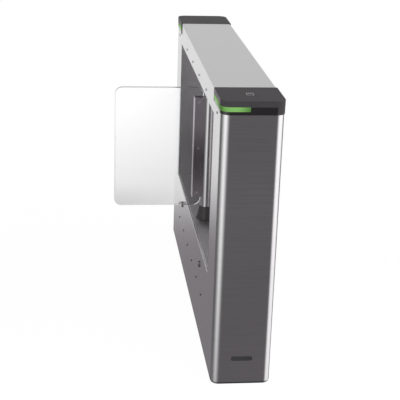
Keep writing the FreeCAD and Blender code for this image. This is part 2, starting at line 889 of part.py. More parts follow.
def nodes():
    """Every node by name: one solid, or a list of separate solids."""
    made = {}
    for piece in (base_plate, cable_grommet, lane_side_panel, outer_side_panel, top_cover, bay_floor,
                  bay_ceiling, bay_back_wall, card_reader, sensor_eyes, eye_boards, beam_sensors,
                  beam_lenses, front_badge, post_shaft, post_tube, post_top_pin, upper_bearing_block,
                  post_collar, wing_panel, clamp_screws, drive_gear, pinion_shaft, drive_plate,
                  drive_columns, drive_screws, bearing_housing, lower_bearing, gear_motor, brake_coil,
                  brake_disc, stop_arm, stop_buffers, position_disc, position_sensor, power_supply,
                  control_board, board_standoffs, din_rail, circuit_breaker, breaker_toggle):
        made[piece.__name__] = piece()
    for piece in (end_shell, bulkhead, cap_base, cap_lid, light_guide, cap_trim, light_board):
        made["near_" + piece.__name__] = piece()
        made["far_" + piece.__name__] = far(piece())
    made["front_clamp_jaw"] = clamp_jaw()
    made["rear_clamp_jaw"] = far(clamp_jaw())
    made["clamp_gaskets"] = [clamp_gasket(), far(clamp_gasket())]
    made["outer_panel_screws"] = panel_screws(0.0)
    return made


os.makedirs("parts", exist_ok=True)
for name, made in nodes().items():
    shape = Part.makeCompound(made) if isinstance(made, list) else made
    shape.exportStep(os.path.join("parts", name + ".step"))
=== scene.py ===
import json
import math

import bmesh
import bpy
import numpy as np
from mathutils import Matrix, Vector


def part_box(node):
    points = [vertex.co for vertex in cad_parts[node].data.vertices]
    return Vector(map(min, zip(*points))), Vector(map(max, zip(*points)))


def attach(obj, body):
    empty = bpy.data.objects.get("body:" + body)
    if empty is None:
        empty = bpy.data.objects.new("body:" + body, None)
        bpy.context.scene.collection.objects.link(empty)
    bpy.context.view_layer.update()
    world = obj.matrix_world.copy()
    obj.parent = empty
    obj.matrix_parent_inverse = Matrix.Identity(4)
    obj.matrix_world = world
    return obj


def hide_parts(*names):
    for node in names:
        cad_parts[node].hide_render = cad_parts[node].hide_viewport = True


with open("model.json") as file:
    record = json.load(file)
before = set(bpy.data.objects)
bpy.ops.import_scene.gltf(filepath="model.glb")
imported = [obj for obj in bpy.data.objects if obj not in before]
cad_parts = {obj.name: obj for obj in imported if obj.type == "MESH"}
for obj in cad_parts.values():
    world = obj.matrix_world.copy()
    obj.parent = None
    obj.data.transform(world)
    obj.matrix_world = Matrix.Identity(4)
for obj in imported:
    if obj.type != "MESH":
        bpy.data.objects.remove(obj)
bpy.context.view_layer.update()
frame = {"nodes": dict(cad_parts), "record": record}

# A millimetre in metres, how far a held point stands from a round, and the angle past which an edge is sharp
MM = 0.001
HOLD = 0.3
SHARP = math.radians(38.0)
UP = (0.0, 0.0, 1.0)

# How a grid of points closes: a tube has faced ends, a ring meets itself, a turned part closes round its axis
TUBE = (False, True, True)
RING = (True, True, False)
TURN = (True, False, False)

# Cabinet
half_width = 103.0
corner_radius = 30.0
sheet = 2.0
sheet_edge = 0.4
hidden_edge = 0.2
seam_gap = 1.0
lap_reach = 6.0
cover_gap = 0.5
cover_bend = 4.5
window_corner = 2.5
bead_radius = 1.5
bead_centre = (1.0, 0.8)
inner_bead_radius = 1.2
inner_bead_inset = 0.7
rim_width = 10.0

# End caps
light_depth = 5.0
light_bulge = 0.4
joint_gap = 0.2
trim_gap = 0.1
trim_recess = 0.4
trim_edge = 0.3
lower_edge = 1.0
core_inset = 6.8
inner_corner = 0.3
lid_edges = (0.6, 0.8)
card_x = (-12.0, 12.0)
card_y = (-673.5, -642.5)
card_corner = 4.0
card_line = 2.2
card_raise = 0.12
stripe_drop = 13.0
stripe_inset = 6.0
stripe_width = 4.0
stripe_corner = 1.0

# Sensors, badge and screws
upper_eyes = (-647.0, -336.0, -112.0, 112.0, 336.0, 647.0)
upper_eye_z = 936.0
lower_eyes = (-380.5, -215.5, -50.5, 114.5, 279.5, 444.5)
lower_eye_z = 170.0
eye_radius = 4.0
eye_lens = 2.5
beam_eyes = (-311.5, 345.5)
beam_z = 265.0
bezel_radius = 14.0
bezel_bore = 7.5
barrel_radius = 11.0
beam_lens = 7.4
badge_field_depth = 0.6
panel_screw_y = (-638.0, -319.0, 0.0, 319.0, 638.0)
panel_screw_z = (40.0, 930.0)
panel_head = 4.3
panel_head_rise = 0.6
panel_shank = 2.0
panel_shank_end = -9.8

# Wing
pivot_x = -46.5
post_radius = 24.15
post_wall = 3.0
post_edge = 0.6
collar_clearance = 0.7
collar_roll = 1.0
wing_corner = 28.0
wing_edge = 1.4
jaw_clearance = 0.2
jaw_edge = 2.2
jaw_inner_edge = 0.5
jaw_end_edge = 0.4
clamp_screw_x = -87.0
clamp_screw_z = (442.5, 625.0, 807.5)
clamp_face = 18.0
clamp_shank = 2.5
clamp_head = 3.6
clamp_head_rise = 2.4


class Flow:
    """A socket of a node tree. Arithmetic on it adds Math nodes, and node() adds any other node."""

    def __init__(self, tree, socket=None):
        self.tree = tree
        self.socket = socket

    def node(self, kind, settings=None, inputs=None, output=0):
        """A new node: its settings first, then the numbers, colours or flows of its sockets."""
        made = self.tree.nodes.new(kind)
        for key, value in (settings or {}).items():
            setattr(made, key, value)
        for key, value in (inputs or {}).items():
            if isinstance(value, Flow):
                self.tree.links.new(value.socket, made.inputs[key])
            else:
                made.inputs[key].default_value = value
        return Flow(self.tree, made.outputs[output] if made.outputs else None)

    def math(self, operation, first, second=0.0):
        return self.node("ShaderNodeMath", {"operation": operation}, {0: first, 1: second})

    def __add__(self, other):
        return self.math("ADD", self, other)

    __radd__ = __add__

    def __sub__(self, other):
        return self.math("SUBTRACT", self, other)

    def __rsub__(self, other):
        return self.math("SUBTRACT", other, self)

    def __mul__(self, other):
        return self.math("MULTIPLY", self, other)

    __rmul__ = __mul__

    def __truediv__(self, other):
        return self.math("DIVIDE", self, other)

    def __rtruediv__(self, other):
        return self.math("DIVIDE", other, self)

    def __pow__(self, other):
        return self.math("POWER", self, other)

    def __rpow__(self, other):
        return self.math("POWER", other, self)

    def __abs__(self):
        return self.math("ABSOLUTE", self)

    def most(self, other):
        return self.math("MAXIMUM", self, other)

    def rise(self, start, end):
        """0 before start, 1 after end and a smooth step between them."""
        return self.node("ShaderNodeMapRange", {"interpolation_type": "SMOOTHSTEP"},
                         {"Value": self, "From Min": start, "From Max": end})

    def place(self):
        """Where a point is, in metres in the frame."""
        return self.node("ShaderNodeTexCoord", {}, {}, "Object")

    def part(self, axis):
        """One coordinate of a place or direction."""
        return self.node("ShaderNodeSeparateXYZ", {}, {0: self}, axis)

    def stretched(self, scale):
        return self.node("ShaderNodeVectorMath", {"operation": "MULTIPLY"}, {0: self, 1: scale})

    def noise(self, scale, detail=2.0):
        """Cloudy noise from 0 to 1 over a place."""
        return self.node("ShaderNodeTexNoise", {}, {"Vector": self, "Scale": scale, "Detail": detail})

    def tint(self, first, second):
        """The first colour where the flow is 0 and the second where it is 1."""
        return self.node("ShaderNodeMix", {"data_type": "RGBA"}, {0: self, 6: first, 7: second}, 2)

    def blend(self, first, second):
        """The first shader where the flow is 0 and the second where it is 1."""
        return self.node("ShaderNodeMixShader", {}, {0: self, 1: first, 2: second})

    def bump(self, strength, depth):
        """A normal that reads the flow as a height."""
        return self.node("ShaderNodeBump", {}, {"Strength": strength, "Distance": depth, "Height": self})

    def surface(self, **sockets):
        """The main shader, its sockets named in lower case with underlines."""
        named = {key.replace("_", " ").title().replace("Ior", "IOR"): value for key, value in sockets.items()}
        return self.node("ShaderNodeBsdfPrincipled", {}, named)

    def glow(self, colour, strength=1.0):
        """A shader that only gives light."""
        return self.node("ShaderNodeEmission", {}, {"Color": colour, "Strength": strength})

    def lit(self, colour, strength=1.0):
        """This shader with light of its own added."""
        return self.node("ShaderNodeAddShader", {}, {0: self, 1: self.glow(colour, strength)})


def rgb(red, green, blue):
    return (red, green, blue, 1.0)


def grey(value):
    """A grey with a trace less green."""
    return rgb(value, value * 0.985, value)


def dark(value):
    """A grey with a faint purple cast."""
    return rgb(value, value * 0.93, value * 0.99)


WHITE = rgb(1.0, 1.0, 1.0)


def material(name, shader):
    """A material whose surface is what shader makes from an empty tree."""
    made = bpy.data.materials.new(name)
    made.use_nodes = True
    tree = made.node_tree
    tree.nodes.clear()
    start = Flow(tree)
    start.node("ShaderNodeOutputMaterial", {}, {"Surface": shader(start)})
    return made


# Finishes

def brushed(tone, grain, roughness, contrast=0.10, relief=1.0, painted_shadow_height=0.0):
    """Steel brushed one way: streaks of noise stretched along the brushing lighten it, roughen it and
    groove it as deep as relief says, and broad faint clouds keep large faces from looking dead flat.
    Up to the given height at its foot it turns dark: a painted shadow along the foot."""
    hair_grain = tuple(3.3 * fineness for fineness in grain)

    def shader(flow):
        place = flow.place()
        streak = place.stretched(grain).noise(1.0, 3.0)
        hair = place.stretched(hair_grain).noise(1.0, 1.0)
        cloud = place.noise(2.6, 2.0)
        line = streak * 0.65 + hair * 0.35
        level = (line - 0.5) * 2.0 + (cloud - 0.5) * 0.5 + 0.5
        colour = level.tint(grey(tone * (1.0 - contrast)), grey(tone * (1.0 + contrast)))
        # Painted shadow: below the given height the colour turns dark along the foot.
        if painted_shadow_height:
            painted_shadow = grey(tone * 0.25)
            colour = place.part("Z").rise(painted_shadow_height * 0.5, painted_shadow_height).tint(painted_shadow, colour)
        uneven = (line - 0.5) * (0.16 * relief) + (cloud - 0.5) * (0.08 * relief)
        return flow.surface(
            base_color=colour,
            metallic=1.0,
            roughness=uneven + roughness,
            normal=hair.bump(0.05, 0.0002 * relief))
    return shader


def polished(tone, roughness):
    """Shiny metal with the faint rings and smears that wiping leaves."""
    def shader(flow):
        place = flow.place()
        ring = place.stretched((20.0, 20.0, 700.0)).noise(1.0, 2.0)
        smear = place.noise(14.0, 3.0)
        return flow.surface(
            base_color=ring.tint(grey(tone * 0.94), grey(tone * 1.04)),
            metallic=1.0,
            roughness=(smear - 0.5) * 0.10 + (ring - 0.5) * 0.05 + roughness)
    return shader


def moulded(dull, light, roughness, pitch, depth, gloss=0.5, painted_sheen_side=None):
    """Moulded plastic: a fine pebble of noise at the pitch given per metre, and a broad unevenness. A pale
    side colour, where given, paints the outermost 0.4 mm towards the lane: a painted reflection that lightens
    that side."""
    sheen_from, sheen_to = -0.1050, -0.1054

    def shader(flow):
        place = flow.place()
        pebble = place.noise(pitch, 2.0)
        cloud = place.noise(9.0, 3.0)
        colour = (pebble * 0.5 + cloud * 0.5).tint(dull, light)
        # Painted reflection: the outermost 0.4 mm towards the lane takes the paler colour.
        if painted_sheen_side:
            colour = place.part("X").rise(sheen_from, sheen_to).tint(colour, painted_sheen_side)
        return flow.surface(
            base_color=colour,
            roughness=(cloud - 0.5) * 0.14 + (pebble - 0.5) * 0.10 + roughness,
            specular_ior_level=gloss,
            normal=pebble.bump(0.25, depth))
    return shader


def clamp_bar(flow):
    """Bead-blasted aluminium: a fine even speckle, and a broad darker band over the middle third, lighter
    towards the ends: a painted reflection."""
    shaded_band_middle, bar_ends = 0.575, 0.17
    place = flow.place()
    speckle = place.noise(1600.0, 2.0)
    # Painted reflection: darker across the middle, lighter towards the ends.
    ends = abs(place.part("Z") - shaded_band_middle).rise(0.0, bar_ends)
    level = ends * 0.86 + speckle * 0.14
    return flow.surface(
        base_color=level.tint(dark(0.30), dark(0.72)),
        metallic=1.0,
        roughness=(speckle - 0.5) * 0.08 + 0.22)


def light_green(flow):
    """A lit light guide: a row of lamps behind its end and one behind its side make it brightest at the
    middle of each, and a soft line runs between their upper and lower rows."""
    end_middle, side_middle, between_rows = -0.062, 0.625, 0.9725
    place = flow.place()
    along = abs(place.part("Y"))
    end_lamps = abs(place.part("X") - end_middle).rise(0.060, 0.008) * along.rise(0.735, 0.745)
    side_lamps = abs(along - side_middle).rise(0.095, 0.010)
    rows = abs(place.part("Z") - between_rows).rise(0.0, 0.004)
    level = end_lamps.most(side_lamps) * 0.84 + rows * 0.08 + place.noise(60.0, 1.0) * 0.08
    return flow.surface(
        base_color=rgb(0.004, 0.016, 0.003),
        roughness=place.noise(40.0, 2.0) * 0.1 + 0.30,
        specular_ior_level=0.002,
        emission_color=level.tint(rgb(0.062, 0.150, 0.033), rgb(0.225, 0.490, 0.135)),
        emission_strength=1.0)


def clear_sheet(flow):
    """Clear acrylic, greyer towards its lower edge as painted shade and dark round its rim, with a haze of
    fine wiping marks. A milky film on its front, glowing faintly with painted light of its own, runs from the
    free end to 160 mm from the cabinet's middle and, below 518 mm, on towards the clamp along a slanting
    edge.
    Beyond those 160 mm its foot is 9 mm higher, and its painted glow dims towards the lower free corner as
    painted shade."""
    film_end, slant_top, slant, step = -0.160, 0.518, 0.305, 0.009
    film_foot, film_head, film_tip = (0.392, 0.395), (0.8605, 0.8585), (-0.4055, -0.4035)
    front, rim_depth = (-0.0055, -0.0059), (0.0058, 0.0050)
    painted_shade_grey = rgb(0.67, 0.67, 0.67)
    place = flow.place()
    across, through, up = (place.part(axis) for axis in "XYZ")
    wipe = place.stretched((30.0, 30.0, 8.0)).noise(1.0, 3.0)
    # Painted shade: the sheet's tint greys towards its lower edge.
    body = up.rise(0.91, 0.25).tint(rgb(0.995, 1.0, 1.0), painted_shade_grey)
    clear = flow.surface(
        base_color=abs(through).rise(*rim_depth).tint(body, rgb(0.06, 0.06, 0.06)),
        roughness=wipe.rise(0.45, 0.8) * 0.02,
        ior=1.45,
        specular_ior_level=0.3,
        transmission_weight=1.0)
    # Painted shade: the film's glow dims towards the lower free corner.
    painted_shade_fade = up.rise(0.50, 0.38) * (across * -2.9 - 0.22).most(0.0)
    # Painted light: the film glows with light of its own, though it is no lamp; its colour greys downwards as
    # painted shade.
    milky = flow.surface(
        base_color=up.rise(0.80, 0.25).tint(WHITE, painted_shade_grey),
        roughness=wipe * 0.2 + 0.6,
        specular_ior_level=0.0,
        emission_color=painted_shade_fade.tint(WHITE, rgb(0.45, 0.45, 0.45)),
        emission_strength=0.385)
    edge = across - (slant_top - up).most(0.0) * slant
    foot = up - across.rise(film_end, film_end + 0.010) * step
    inside = foot.rise(*film_foot) * up.rise(*film_head) * across.rise(*film_tip)
    film = edge.rise(film_end, film_end - 0.005) * inside * through.rise(*front) * 0.80
    return film.blend(clear, milky)


def circuit(flow):
    """A circuit board: solder mask crossed by paler tracks, noise stretched along them and cut sharp."""
    track = flow.place().stretched((90.0, 700.0, 90.0)).noise(1.0, 0.0).rise(0.55, 0.58)
    return flow.surface(
        base_color=track.tint(rgb(0.015, 0.16, 0.06), rgb(0.03, 0.26, 0.10)),
        roughness=track * 0.15 + 0.3)


def card_ink(flow):
    """Pale printed ink, worn thin in places."""
    worn = flow.place().noise(300.0, 3.0)
    return flow.surface(base_color=worn.tint(grey(0.30), grey(0.50)), roughness=worn * 0.2 + 0.5)


looks = {
    # shell_steel: a painted shadow darkens its lowest 8.5 mm.
    "shell_steel": brushed(0.58, (6.0, 6.0, 900.0), 0.22, contrast=0.09, painted_shadow_height=0.0085),
    "cover_steel": brushed(0.52, (700.0, 5.0, 60.0), 0.30, contrast=0.06, relief=0.6),
    "bay_steel": brushed(0.66, (6.0, 6.0, 700.0), 0.24, contrast=0.03, relief=0.25),
    # The bay floor: the bay lining's steel made darker as painted shade of the recess, and rougher.
    "shaded_bay_floor_steel": brushed(0.55, (6.0, 700.0, 6.0), 0.42, contrast=0.03, relief=0.25),
    "frame_steel": brushed(0.50, (40.0, 40.0, 300.0), 0.45, contrast=0.14),
    "polished_steel": polished(0.56, 0.12),
    "dark_chrome": polished(0.17, 0.12),
    "clamp_metal": clamp_bar,
    "screw_steel": polished(0.82, 0.20),
    "machined_steel": polished(0.40, 0.30),
    # cap_plastic: its paler lane side is a painted reflection.
    "cap_plastic": moulded(dark(0.055), dark(0.069), 0.32, 1400.0, 0.00003, 0.008, painted_sheen_side=dark(0.13)),
    "dark_gloss": moulded(dark(0.014), dark(0.019), 0.12, 500.0, 0.00002),
    "black_plastic": moulded(dark(0.046), dark(0.062), 0.42, 1100.0, 0.0001),
    "toggle_plastic": moulded(grey(0.04), grey(0.06), 0.35, 800.0, 0.00005),
    "rubber": moulded(grey(0.012), grey(0.024), 0.70, 900.0, 0.0001, 0.3),
    "black_paint": moulded(grey(0.025), grey(0.040), 0.50, 600.0, 0.0001, 0.3),
    "badge_plastic": moulded(grey(0.040), grey(0.052), 0.35, 500.0, 0.00002, 0.3),
    "light_strip": light_green,
    "clear_acrylic": clear_sheet,
    "circuit_board": circuit,
    "card_ink": card_ink,
}
finishes = {name: material(name, shader) for name, shader in looks.items()}


# Shapes

def span(node):
    """A node's lowest and highest corner at rest, in millimetres."""
    low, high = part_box(node)
    return np.array(low) / MM, np.array(high) / MM


def facing(axis, points):
    """Points given as across, up and out, turned so that out runs along the axis."""
    return points[..., {"x": (2, 0, 1), "y": (0, 2, 1), "z": (0, 1, 2)}[axis]]


def mirrored(points):
    """The same points at the other end of the cabinet: y changes sign."""
    return points * np.array([1.0, -1.0, 1.0])


def arc(centre, radius, start, end, count):
    """Points on centre + radius (cos t, sin t), with t from start to end in degrees."""
    t = np.radians(np.linspace(start, end, count))
    return np.asarray(centre) + radius * np.column_stack([np.cos(t), np.sin(t)])


def dome(radius, rise, steps=7):
    """A shallow cap from its rim to its crown: radius cos t across, rise sin t up."""
    return arc((0.0, 0.0), 1.0, 0.0, 90.0, steps + 1) * np.array([radius, rise])


def round_corner(centre, radius, start, steps=8, hold=HOLD):
    """A quarter of centre + radius (cos t, sin t), with a held point on the tangent before and after
    it that keeps the flats beside it flat. Gives the points and the directions outwards."""
    t = np.radians(start + np.linspace(0.0, 90.0, steps + 1))
    out = np.stack([np.cos(t), np.sin(t)], 1)
    along = np.stack([-np.sin(t), np.cos(t)], 1)
    points = np.asarray(centre) + radius * out
    points = np.vstack([points[0] - hold * along[0], points, points[-1] + hold * along[-1]])
    return points, np.vstack([out[0], out, out[-1]])


def rectangle(u, v, radii, steps=8, hold=HOLD):
    """A rectangle's outline with a round at each corner, anticlockwise from the high one, and its
    directions outwards. One radius stands for all four."""
    rounds = []
    corners = ((1, 1), (0, 1), (0, 0), (1, 0))
    for k, (r, (high_u, high_v)) in enumerate(zip(np.broadcast_to(radii, 4), corners)):
        centre = (u[high_u] + (-r if high_u else r), v[high_v] + (-r if high_v else r))
        rounds.append(round_corner(centre, r, 90.0 * k, steps, hold))
    return tuple(np.vstack(rows) for rows in zip(*rounds))


def soft_levels(low, high, low_edge, high_edge, steps=4):
    """Insets and heights up the side of a plate: a quarter circle in from each edge, with a held level
    before and after it."""
    t = np.radians(np.linspace(0.0, 90.0, steps + 1))
    foot = np.column_stack([low_edge * (1.0 - np.sin(t)), low + low_edge * (1.0 - np.cos(t))])
    head = np.column_stack([high_edge * (1.0 - np.cos(t)), high - high_edge * (1.0 - np.sin(t))])
    held = min(HOLD, (high - low - low_edge - high_edge) / 3.0)
    return np.vstack([[low_edge + HOLD, low], foot, [0.0, low + low_edge + held],
                      [0.0, high - high_edge - held], head, [high_edge + HOLD, high]])


def plate(u, v, radii, levels, steps=8, hold=HOLD):
    """A plate's rows: its outline drawn in by each level's inset, at that level's height."""
    least_radius = 0.05
    rows = []
    for inset, height in levels:
        outline = rectangle((u[0] + inset, u[1] - inset), (v[0] + inset, v[1] - inset),
                            np.maximum(np.subtract(radii, inset), least_radius), steps, hold)[0]
        rows.append(np.column_stack([outline, np.full(len(outline), height)]))
    return np.stack(rows)


def carried(path, out, section, upright=UP):
    """A section carried along a path: path + across times its outward direction + along times upright."""
    path, out, section, upright = (np.asarray(part, float) for part in (path, out, section, upright))
    across, along = section[None, :, :1], section[None, :, 1:]
    return path[:, None, :] + across * out[:, None, :] + along * upright


def turned(profile, centre, axis, sides):
    """A profile of radius and height turned about an axis: centre + r (cos t, sin t) + h along the axis."""
    t = np.linspace(0.0, 2.0 * math.pi, sides, endpoint=False)
    out = facing(axis, np.column_stack([np.cos(t), np.sin(t), 0.0 * t]))
    return carried(np.broadcast_to(centre, out.shape), out, profile, facing(axis, np.array(UP)))


def in_plan(outline, out):
    """A plan outline and its outward directions as points at height 0."""
    flat = np.zeros((len(outline), 1))
    return np.hstack([outline, flat]), np.hstack([out, flat])


def sound_mesh(name, points, faces):
    """A mesh of points in millimetres, with doubles merged and its faces turned outwards."""
    mesh = bpy.data.meshes.new(name)
    mesh.from_pydata((points * MM).tolist(), [], faces)
    edit = bmesh.new()
    edit.from_mesh(mesh)
    bmesh.ops.remove_doubles(edit, verts=edit.verts, dist=1e-7)
    bmesh.ops.recalc_face_normals(edit, faces=edit.faces)
    edit.to_mesh(mesh)
    edit.free()
    return mesh


def fitted(name, mesh, body, slot, stands_for=(), finish=None):
    """A finished mesh as an object, with its finish, on its body and in place of the nodes it stands for."""
    made = bpy.data.objects.new(name, mesh)
    bpy.context.scene.collection.objects.link(made)
    mesh.materials.append(finishes[finish or slot])
    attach(made, body)
    if stands_for:
        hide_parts(*stands_for)
    return made


def piece(name, body, slot, grids, stands_for=(), finish=None):
    """One mesh from grids of points in millimetres, each with the way it closes. Neighbouring rows and
    columns are joined by four-sided faces, and faced ends get one face each."""
    vertices = []
    faces = []
    first = 0
    for points, (loop, around, ends) in grids:
        n, m = points.shape[:2]
        i = np.arange(n if loop else n - 1)[:, None]
        j = np.arange(m if around else m - 1)[None, :]
        following = (i + 1) % n
        beside = (j + 1) % m
        quads = np.stack(np.broadcast_arrays(i * m + j, i * m + beside, following * m + beside,
                                             following * m + j), -1)
        faces += (quads.reshape(-1, 4) + first).tolist()
        if ends:
            faces.append((first + np.arange(m)[::-1]).tolist())
            faces.append((first + (n - 1) * m + np.arange(m)).tolist())
        vertices.append(points.reshape(-1, 3))
        first += n * m
    mesh = sound_mesh(name, np.vstack(vertices), faces)
    mesh.shade_smooth()
    mesh.set_sharp_from_angle(angle=SHARP)
    return fitted(name, mesh, body, slot, stands_for, finish)


def both_ends(name, slot, grids, node):
    """The same piece at the near end and, mirrored, at the far end."""
    far_grids = [(mirrored(points), closing) for points, closing in grids]
    for end, shapes in (("near", grids), ("far", far_grids)):
        piece(f"{name}_{end}", "cabinet", slot, shapes, (f"{end}_{node}",))


# Cabinet

def lane_face():
    """Where the flat lane side lies across the cabinet."""
    return span("lane_side_panel")[0][0]


def window_opening():
    """Half the window's length, and the heights of its foot and head."""
    return -span("near_bulkhead")[1][1], span("bay_floor")[1][2] + sheet, span("bay_ceiling")[0][2] - sheet


def rolled_shells():
    """Sheet carried round each end of the cabinet, a flat between two rolled corners, and its laps."""
    low, high = span("near_end_shell")
    side_end = span("lane_side_panel")[0][1] - seam_gap
    left = round_corner((low[0] + corner_radius, low[1] + corner_radius), corner_radius, 180.0, steps=16)
    right = round_corner((high[0] - corner_radius, low[1] + corner_radius), corner_radius, 270.0, steps=16)
    plan = np.vstack([[low[0], side_end], left[0], right[0], [high[0], side_end]])
    out = np.vstack([[-1.0, 0.0], left[1], right[1], [1.0, 0.0]])
    section = rectangle((-sheet, 0.0), (low[2], high[2]), sheet_edge, steps=3)[0]
    grids = [(carried(*in_plan(plan, out), section), TUBE)]
    levels = soft_levels(low[2] + sheet, high[2] - sheet, hidden_edge, hidden_edge, steps=1)
    for x in ((low[0] + sheet, low[0] + 2.0 * sheet), (high[0] - 2.0 * sheet, high[0] - sheet)):
        lap = plate(x, (side_end - lap_reach, high[1]), hidden_edge, levels, steps=1, hold=0.1)
        grids.append((lap, TUBE))
    both_ends("rolled_shell", "shell_steel", grids, "end_shell")


def lane_sheet():
    """The flat lane side: cells of a grid of breaks in y and z, without the window and the cells under
    the caps, given a front, a back and walls wherever a kept cell meets a missing one."""
    low, high = span("lane_side_panel")
    half, foot, head = window_opening()
    cover = span("top_cover")[1][1] + cover_gap
    y = np.array([low[1], -cover, -half, half, cover, high[1]])
    z = np.array([low[2], foot, head, span("near_cap_base")[0][2], high[2]])
    kept = np.ones((len(y) - 1, len(z) - 1), bool)
    kept[2, 1] = False
    kept[[0, -1], -1] = False
    index = np.arange(len(y) * len(z)).reshape(len(y), len(z))
    back = index.size
    cell = np.stack([index[:-1, :-1], index[1:, :-1], index[1:, 1:], index[:-1, 1:]], -1)[kept]
    padded = np.pad(kept, 1)
    across = padded[1:, 1:-1] != padded[:-1, 1:-1]
    along = padded[1:-1, 1:] != padded[1:-1, :-1]
    walls = np.vstack([np.stack([index[:, :-1], index[:, 1:]], -1)[across],
                       np.stack([index[:-1, :], index[1:, :]], -1)[along]])
    walls = np.hstack([walls, walls[:, ::-1] + back])
    grid = np.stack(np.meshgrid(y, z, indexing="ij"), -1).reshape(-1, 2)
    layers = [np.column_stack([np.full(len(grid), x), grid]) for x in (low[0], low[0] + sheet)]
    used, faces = np.unique(np.vstack([cell, cell + back, walls]), return_inverse=True)
    mesh = sound_mesh("lane_sheet", np.vstack(layers)[used], faces.reshape(-1, 4).tolist())
    made = fitted("lane_sheet", mesh, "cabinet", "shell_steel", ("lane_side_panel",))
    edge = made.modifiers.new("edge", "BEVEL")
    edge.width = sheet_edge * MM
    edge.segments = 2


def window_bead():
    """The window's folded rim: a flat strip between a round bead at its outer edge and one at its inner
    edge, both standing a little into the opening, carried round the window's rectangle."""
    low, high = span("lane_side_panel")
    depth = high[0] - low[0]
    half, foot, head = window_opening()
    outline, out = rectangle((-half, half), (foot, head), window_corner, steps=6)
    path = facing("x", np.column_stack([outline, np.full(len(outline), low[0])]))
    out = facing("x", np.column_stack([out, np.zeros(len(out))]))
    bead = arc(bead_centre, bead_radius, -32.0, -222.0, 12)
    strip = [[0.0, 1.95], [0.0, depth - 2.4]]
    inner = arc((inner_bead_inset, depth - inner_bead_radius), inner_bead_radius, 234.3, 90.0, 10)
    tail = [[rim_width, depth], [rim_width, depth - sheet], [2.0 * sheet, sheet]]
    rows = carried(path, out, np.vstack([bead, strip, inner, tail]), (1.0, 0.0, 0.0))
    piece("window_bead", "cabinet", "shell_steel", [(rows, RING)])


def cover_sheet():
    """The top cover: a flat sheet with both long edges bent down, carried straight along the cabinet."""
    low, high = span("top_cover")
    centre = (high[0] - cover_bend, high[2] - cover_bend)

    def bent(inset):
        """Half a section from the middle to the skirt, drawn in by inset."""
        turn = round_corner(centre, cover_bend - inset, 0.0, steps=10)[0][::-1]
        return np.vstack([turn, [high[0] - inset, low[2]]])

    outer, inner = bent(0.0), bent(sheet)
    flip = np.array([-1.0, 1.0])
    section = np.vstack([outer[::-1] * flip, outer, inner[::-1], inner * flip])
    path = np.array([[0.0, y, 0.0] for y in (low[1], low[1] + HOLD, high[1] - HOLD, high[1])])
    out = np.tile([1.0, 0.0, 0.0], (len(path), 1))
    piece("cover_sheet", "cabinet", "shell_steel", [(carried(path, out, section), TUBE)], ("top_cover",),
          "cover_steel")


# End caps

def cap_round(node):
    """The radius of a cap piece's outer corners: the cabinet's own and how far the piece stands out."""
    return corner_radius + span(node)[1][0] - half_width


def cap_lids():
    """Plates with round outer corners and a softened brim."""
    low, high = span("near_cap_lid")
    radius = cap_round("near_cap_lid")
    rows = plate((low[0], high[0]), (low[1], high[1]), [inner_corner, inner_corner, radius, radius],
                 soft_levels(low[2], high[2], *lid_edges), steps=14)
    both_ends("cap_lid_skin", "cap_plastic", [(rows, TUBE)], "cap_lid")


def cap_bodies():
    """The core of each cap, and the plain stretches of its side: round the outer corner, and a stub at
    the inner end of the light."""
    low, high = span("near_cap_base")
    front, light_start = span("near_light_guide")[0][1], span("near_light_guide")[1][1]
    trim_end = span("near_cap_trim")[1][0]
    radius = cap_round("near_cap_base")
    levels = soft_levels(low[2], high[2], hidden_edge, hidden_edge, steps=2)
    core = plate((low[0] + core_inset, high[0] - core_inset), (front + core_inset, high[1]),
                 [inner_corner, inner_corner, radius - core_inset, radius - core_inset], levels, steps=10)
    turn, out = round_corner((high[0] - radius, front + radius), radius, 270.0, steps=14)
    plan = np.vstack([[trim_end + joint_gap, front], turn[2:], [high[0], high[1]]])
    out = np.vstack([[0.0, -1.0], out[2:], [1.0, 0.0]])
    edges = [hidden_edge, hidden_edge, hidden_edge, lower_edge]
    section = rectangle((-core_inset, 0.0), (low[2], high[2]), edges, steps=3)[0]
    rim = carried(*in_plan(plan, out), section)
    stub = plate((low[0], low[0] + core_inset), (light_start, high[1]), hidden_edge, levels, steps=2,
                 hold=0.1)
    both_ends("cap_body", "cap_plastic", [(core, TUBE), (rim, TUBE), (stub, TUBE)], "cap_base")


def round_the_light(end):
    """The path of a cap's side from the inner end of the light, round the corner and on to x = end."""
    low, high = span("near_light_guide")
    radius = cap_round("near_cap_base")
    turn, out = round_corner((low[0] + radius, low[1] + radius), radius, 180.0, steps=18)
    plan = np.vstack([[low[0], high[1] - joint_gap], turn, [end, low[1]]])
    return in_plan(plan, np.vstack([[-1.0, 0.0], out, [0.0, -1.0]]))


def light_strips():
    """The lit band: a section with a bulging outer face, carried along the lane side, round the corner
    and over part of the end."""
    low, high = span("near_light_guide")
    s = np.linspace(-1.0, 1.0, 11)
    half = (high[2] - low[2]) / 2.0 - joint_gap
    face = np.column_stack([light_bulge * (1.0 - s ** 2) - light_bulge, (low[2] + high[2]) / 2.0 + half * s])
    section = np.vstack([face, [-light_depth, face[-1, 1]], [-light_depth, face[0, 1]]])
    rows = carried(*round_the_light(high[0] - joint_gap), section)
    both_ends("light_band", "light_strip", [(rows, TUBE)], "light_guide")


